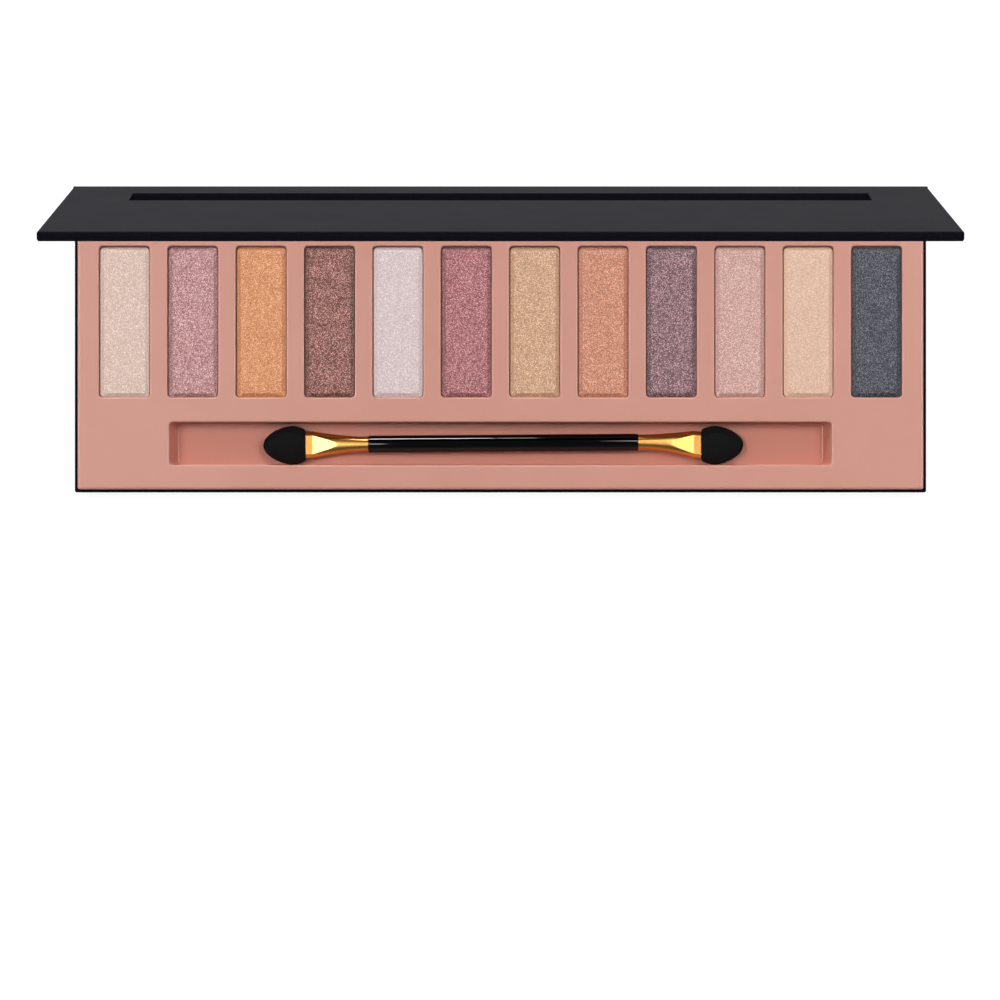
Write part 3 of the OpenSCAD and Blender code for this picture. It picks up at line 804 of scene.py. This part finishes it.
makePowders()
print("powders made")


rod = {"turn": 0.4, "diameter": 3.7 * mm, "length": 57.1 * mm, "spigot": 3 * mm,
       "spigotStep": 0.4 * mm, "endRound": 0.25 * mm}      # turn in degrees, as it lies
# facetStart: where the pressed facet starts, as a share of the taper; facetEdge: degrees round
# the ring to the facet's edge; crimpSwell: unpressed thickness at the crimp over the pressed one
ferrule = {"length": 13.3 * mm, "wide": 5.8 * mm, "flat": 1.9 * mm, "crimp": 1.5 * mm,
           "wall": 0.25 * mm, "neckStep": 0.2 * mm, "lipRound": 0.06 * mm, "facetStart": 0.45,
           "facetEdge": 60, "crimpSwell": 1.37, "wideCurve": 1.8, "thickCurve": 1.6, "ring": 72,
           "steps": 40}
# swellAt: from the ferrule to the widest place; overNeck: how far the foam stands over the
# ferrule's mouth; square: under 1 makes the section fuller than an oval
tip = {"length": 9 * mm, "wide": 8.3 * mm, "thick": 4.1 * mm, "gap": 0.05 * mm,
       "swellAt": 3 * mm, "overNeck": 0.4 * mm, "neckAngle": 20, "square": 0.8,
       "lumpHigh": 0.035 * mm, "lumpWide": 0.9 * mm, "poreWide": 0.35 * mm}
lean = {-1: 0.1 * mm, 1: 0.7 * mm}      # how far each end bends to the front of the well
handleLow, handleHigh = corners("handle")
rodPlace = (Matrix.Translation((handleLow + handleHigh) / 2)
            @ Matrix.Rotation(math.radians(rod["turn"]), 4, "Z"))


def makeHandle():
    # a rod with a spigot at each end that the ferrules are pushed on
    deselectAll()
    bpy.ops.mesh.primitive_cylinder_add(vertices=96, radius=rod["diameter"] / 2,
                                        depth=rod["length"], rotation=(0, math.pi / 2, 0))
    handle = bpy.context.object
    handle.name = handle.data.name = "handleRod"
    applyPlace(handle)
    for side in (-1, 1):
        end = side * rod["length"] / 2
        pick(handle, "FACE", lambda c, n: n.x * side > 0.9)
        bpy.ops.mesh.inset(thickness=rod["spigotStep"], depth=0)
        bpy.ops.mesh.extrude_region_move(
            TRANSFORM_OT_translate={"value": (side * rod["spigot"], 0, 0)})
        leaveEdit()
        pick(handle, "EDGE", lambda c, d: near(c.x, end)
             and Vector((c.y, c.z)).length > rod["diameter"] / 2 - rod["spigotStep"] / 4)
        bpy.ops.mesh.bevel(offset=rod["endRound"], segments=4, affect="EDGES")
        leaveEdit()
    smooth(handle)
    handle.matrix_world = rodPlace
    applyPlace(handle)
    return finishPiece(handle, handleLacquer, "applicator", ["handle"])


def bendAt(side, x):
    return -lean[side] * min(1, x / ferrule["length"]) ** 2


def ferruleSize(x):
    # half width, half thickness and pressed half thickness at x from the handle
    start = rod["diameter"] / 2 - ferrule["neckStep"]
    flat = ferrule["flat"] / 2
    u = max(0, min(1, x / (ferrule["length"] - ferrule["crimp"])))
    v = max(0, (u - ferrule["facetStart"]) / (1 - ferrule["facetStart"]))
    wide = start + (ferrule["wide"] / 2 - start) * u ** ferrule["wideCurve"]
    thick = start + (ferrule["crimpSwell"] * flat - start) * u ** ferrule["thickCurve"]
    return wide, thick, min(0.995 * thick, start + (flat - start) * v)


def pressedPoint(angle, wide, thick, flat):
    # a point of an oval that is pressed flat at half thickness flat; the flat faces take the
    # same share of the ring's points all along, so the facet's edge is one line of the mesh
    side, corner = ferrule["facetEdge"], math.asin(flat / thick)
    q = abs(math.degrees(angle))
    up = 1 if angle > 0 else -1
    if side <= q <= 180 - side:
        return wide * math.cos(corner) * (90 - q) / (90 - side), up * flat
    b = q * corner / side if q < side else math.pi - (180 - q) * corner / side
    return wide * math.cos(b), up * thick * math.sin(b)


def makeFerrule(side, name, node):
    # a tube of many rings, each pressed to its own width; its wall is added inwards
    deselectAll()
    bpy.ops.mesh.primitive_cylinder_add(vertices=ferrule["ring"], radius=1, depth=1,
                                        end_fill_type="NOTHING", rotation=(0, math.pi / 2, 0))
    tube = bpy.context.object
    tube.name = tube.data.name = name
    applyPlace(tube)
    stops = [ferrule["length"] * k / ferrule["steps"] for k in range(ferrule["steps"])]
    stops += [ferrule["length"] - ferrule["crimp"], ferrule["length"]]
    for stop in sorted(stops)[1:-1]:
        bisectAt(tube, (stop / ferrule["length"] - 0.5, 0, 0), (1, 0, 0))
    for vertex in tube.data.vertices:
        x = (vertex.co.x + 0.5) * ferrule["length"]
        across, up = pressedPoint(math.atan2(vertex.co.z, vertex.co.y), *ferruleSize(x))
        vertex.co = (x, bendAt(side, x) + across, up)
    faceOutwards(tube)
    applyModifier(tube, "SOLIDIFY", thickness=ferrule["wall"], offset=-1)
    applyModifier(tube, "BEVEL", width=ferrule["lipRound"], segments=2, limit_method="ANGLE",
                  angle_limit=math.radians(60))
    placeEnd(tube, side)
    smooth(tube, 13)
    return finishPiece(tube, ferruleGold, "applicator", [node])


def placeEnd(obj, side):
    flip = Matrix.Scale(-1, 4, (1, 0, 0)) if side < 0 else Matrix.Identity(4)
    obj.data.transform(rodPlace @ flip @ Matrix.Translation((rod["length"] / 2, 0, 0)))
    faceOutwards(obj)


def tipSize(x):
    # half width and half thickness at x from the ferrule: swells, then narrows to a blunt end
    swell = tip["swellAt"]
    wide, thick = tip["wide"] / 2, tip["thick"] / 2
    if x < swell:
        neckWide = ferrule["wide"] / 2 + tip["overNeck"]
        neckThick = ferrule["flat"] / 2 + tip["overNeck"]
        rise = math.sin(math.pi / 2 * x / swell) ** 0.8
        return neckWide + (wide - neckWide) * rise, neckThick + (thick - neckThick) * rise
    u = min(1, (x - swell) / (tip["length"] - swell))
    return wide * math.sqrt(1 - u ** 1.5), thick * math.sqrt(1 - u ** 1.8)


def makeTip(side, name, node):
    # foam cut to an almond and kept off the front wall of the well
    deselectAll()
    bpy.ops.mesh.primitive_uv_sphere_add(segments=48, ring_count=40, radius=1,
                                         rotation=(0, math.pi / 2, 0))
    pad = bpy.context.object
    pad.name = pad.data.name = name
    applyPlace(pad)
    capAngle = math.radians(tip["neckAngle"])      # the round end over the stem
    bent = bendAt(side, ferrule["length"])
    for vertex in pad.data.vertices:
        fromNeck = math.acos(max(-1, min(1, -vertex.co.x)))
        around = math.atan2(vertex.co.z, vertex.co.y)
        t = max(0, (fromNeck - capAngle) / (math.pi - capAngle))
        x = tip["length"] * math.sin(math.pi / 2 * t)
        wide, thick = tipSize(x)
        share = min(1, fromNeck / capAngle)
        c, s = math.cos(around), math.sin(around)
        across = math.copysign(abs(c) ** tip["square"], c)
        up = math.copysign(abs(s) ** tip["square"], s)
        vertex.co = (ferrule["length"] + x, bent + share * wide * across, share * thick * up)
    faceOutwards(pad)
    placeEnd(pad, side)
    applyModifier(pad, "SUBSURF", levels=2, render_levels=2)
    normals = [vertex.normal.copy() for vertex in pad.data.vertices]
    for vertex, normal in zip(pad.data.vertices, normals):
        lump = noise.noise(vertex.co / tip["lumpWide"])
        pore = 0.5 * noise.noise(vertex.co / tip["poreWide"])
        vertex.co += normal * ((lump + pore) * tip["lumpHigh"] - tip["lumpHigh"])
        vertex.co.y = max(vertex.co.y, wellFront + tip["gap"])
    smooth(pad, 60)
    finishPiece(pad, foam, "applicator", [node])
    return pad


makeHandle()
makeFerrule(-1, "ferruleLeft", "ferrule_left")
makeFerrule(1, "ferruleRight", "ferrule_right")
makeTip(-1, "foamTipLeft", "sponge_left")
makeTip(1, "foamTipRight", "sponge_right")
print("applicator made")


def dressNode(node, material):
    for slot in frame["nodes"][node].material_slots:
        slot.material = material


for node in ("wall_front", "wall_back", "wall_left", "wall_right"):
    dressNode(node, greyboard)
for node in ("base_board", "spine_board", "lid_board"):
    dressNode(node, blackBoard)
for node in ("tray_magnet_left", "tray_magnet_right", "lid_magnet_left", "lid_magnet_right"):
    dressNode(node, nickel)
for k in range(panCount):
    dressNode("pan_%02d" % (k + 1), tinplate)
for node in ("stem_left", "stem_right"):
    dressNode(node, stemPlastic)
dressNode("spine_liner", wrapPaper)
dressNode("window_film", clearFilm)
print("nodes dressed")


studio = {"cameraHeight": 0.709, "cameraX": -0.1 * mm, "cameraY": -31.06 * mm, "lens": 119.72,
          "sensor": 36, "clip": 0.01, "floorSize": 6, "floorDrop": 0.05 * mm, "floorGrey": 0.85,
          "floorGlow": 1.15, "floorShare": 0.8, "skyLow": 0.4, "skyHigh": 0.08}
applicatorStarts = ("handle", "ferrule", "foam", "stem", "sponge")
caseStarts = ("tray", "powder", "pan", "wall", "base", "lid", "spine", "upper", "lower", "frame",
              "floor")
offFerruleCards = caseStarts + ("handle", "foam", "stem", "sponge")
offSideCards = ("powder", "handle", "foam", "stem", "sponge")
# each lamp: the way to it from the case, how far it is, its size, its watts, and how the names
# of the pieces that it doesn't light start
lamps = {
    "keyBackLeft": ((-0.45, 0.14, 0.9), 5, (1.25, 1.25), 73, ()),
    # the strips draw the line along the applicator; the wash lights the rest without a glare,
    # and the higher strip only edges the tray's rims
    "backStrip": ((-0.19375, 0.92, 0.32), 1.6, (0.56, 0.1), 11, caseStarts),
    "backStripTail": ((0.01875, 0.92, 0.32), 1.6, (0.1, 0.1), 0.7, caseStarts),
    "backWash": ((-0.18, 0.87, 0.43), 1.6, (0.66, 0.1), 17, applicatorStarts),
    "rimStrip": ((-0.1, 0.78, 0.6), 1.6, (0.66, 0.1), 22, applicatorStarts),
    "overheadLeft": ((-0.3, 0, 1), 1.5, (0.3, 0.2), 1.3, ()),
    # a broad card and a small one give the gold ferrules something to mirror
    "ferruleCard": ((0.1, 0.1, 1), 1.2, (0.9, 1.3), 2.8, offFerruleCards),
    "ferruleGlint": ((0.42, 0.05, 1), 1.5, (0.3, 0.3), 0.7, offFerruleCards),
    "fillRight": ((0.42, 0.26, 0.87), 1.1, (0.4, 0.4), 4.3, ()),
    "sideCardLeft": ((-1, 0, 0.9), 1.0, (0.25, 0.5), 4.5, offSideCards),
    "sideCardRight": ((1, 0, 0.9), 1.0, (0.25, 0.5), 4.5, offSideCards)}
sideCards = ("sideCardLeft", "sideCardRight")


def sweepMaterial():
    # White paper sweep: it glows evenly for the eye and in reflections, and keeps its shadows
    material = bpy.data.materials.new("PaperSweep")
    material.use_nodes = True
    tree = material.node_tree
    shader = tree.nodes["Principled BSDF"]
    shader.inputs["Base Color"].default_value = (studio["floorGrey"],) * 3 + (1,)
    shader.inputs["Roughness"].default_value = 0.9
    shader.inputs["Specular IOR Level"].default_value = 0.2
    path = addNode(tree, "ShaderNodeLightPath")
    glow = addNode(tree, "ShaderNodeEmission", {"Color": (1, 1, 1, 1),
                                                "Strength": studio["floorGlow"]})
    direct = addNode(tree, "ShaderNodeMath", {"operation": "MAXIMUM"},
                     {0: (path, "Is Camera Ray"), 1: (path, "Is Glossy Ray")})
    anyRay = addNode(tree, "ShaderNodeMath", {"operation": "MAXIMUM"},
                     {0: (direct, "Value"), 1: (path, "Is Transmission Ray")})
    share = addNode(tree, "ShaderNodeMath", {"operation": "MULTIPLY", 1: studio["floorShare"]},
                    {0: (anyRay, "Value")})
    unscattered = addNode(tree, "ShaderNodeMath", {"operation": "LESS_THAN", 1: 0.5},
                          {0: (path, "Diffuse Depth")})
    seen = addNode(tree, "ShaderNodeMath", {"operation": "MULTIPLY"},
                   {0: (share, "Value"), 1: (unscattered, "Value")})
    mix = addNode(tree, "ShaderNodeMixShader", links={0: (seen, "Value"), 1: (shader, "BSDF"),
                                                      2: (glow, "Emission")})
    tree.links.new(mix.outputs["Shader"], tree.nodes["Material Output"].inputs["Surface"])
    return material


def makeFloor():
    deselectAll()
    bpy.ops.mesh.primitive_plane_add(size=studio["floorSize"],
                                     location=(0, 0, -studio["floorDrop"]))
    floor = bpy.context.object
    floor.name = "floor"
    floor.data.materials.append(sweepMaterial())


def addPanelLight(name, direction, distance, size, watts):
    data = bpy.data.lights.new(name, "AREA")
    data.shape = "RECTANGLE"
    data.size, data.size_y = size
    data.energy = watts
    lamp = bpy.data.objects.new(name, data)
    lamp.location = Vector(direction).normalized() * distance
    lamp.rotation_euler = (-lamp.location).to_track_quat("-Z", "Y").to_euler()
    lamp.visible_camera = False
    bpy.context.collection.objects.link(lamp)
    return lamp


def leftOut(name, starts):
    # a light-linking collection that leaves out the meshes whose names start so
    found = bpy.data.collections.new(name)
    for obj in bpy.data.objects:
        if obj.type == "MESH" and obj.name.startswith(starts):
            found.objects.link(obj)
    for item in found.collection_objects:
        item.light_linking.link_state = "EXCLUDE"
    return found


def makeLights():
    for name, (direction, distance, size, watts, unlit) in lamps.items():
        lamp = addPanelLight(name, direction, distance, size, watts)
        if name not in sideCards:
            # it stands behind the raised lid and is not shaded by it; the window film is kept
            # out of its light, or it would let the same light in twice
            lamp.light_linking.blocker_collection = leftOut(
                name + "Passes", ("lid", "upper", "window", "spine"))
            lamp.visible_transmission = False
            unlit += ("window",)
        lamp.light_linking.receiver_collection = leftOut(name + "Unlit", unlit)
        lamp.visible_glossy = name != "backWash"
        # a side card and the rim strip are only a reflection for rounded edges
        lamp.visible_diffuse = name not in sideCards + ("rimStrip",)


def makeWorld():
    # a white sky that dims towards the top, and plain white for the camera
    world = bpy.data.worlds.new("studio")
    bpy.context.scene.world = world
    world.use_nodes = True
    tree = world.node_tree
    background = tree.nodes["Background"]
    background.inputs["Color"].default_value = (1, 1, 1, 1)
    place = addNode(tree, "ShaderNodeTexCoord")
    direction = addNode(tree, "ShaderNodeSeparateXYZ", links={"Vector": (place, "Generated")})
    sky = addNode(tree, "ShaderNodeMapRange",
                  {"From Min": 0.15, "From Max": 0.75, "To Min": studio["skyLow"],
                   "To Max": studio["skyHigh"]},
                  {"Value": (direction, "Z")})
    path = addNode(tree, "ShaderNodeLightPath")
    strength = addNode(tree, "ShaderNodeMath", {"operation": "MAXIMUM"},
                       {0: (sky, "Result"), 1: (path, "Is Camera Ray")})
    tree.links.new(strength.outputs["Value"], background.inputs["Strength"])


def makeCamera():
    # straight above the front of the case, looking down
    data = bpy.data.cameras.new("camera")
    data.lens = studio["lens"]
    data.sensor_width = studio["sensor"]
    data.clip_start = studio["clip"]
    camera = bpy.data.objects.new("camera", data)
    camera.location = (studio["cameraX"], studio["cameraY"], studio["cameraHeight"])
    bpy.context.collection.objects.link(camera)
    bpy.context.scene.camera = camera
    bpy.context.scene.view_settings.view_transform = "Standard"


makeFloor()
makeLights()
makeWorld()
makeCamera()
print("studio made")
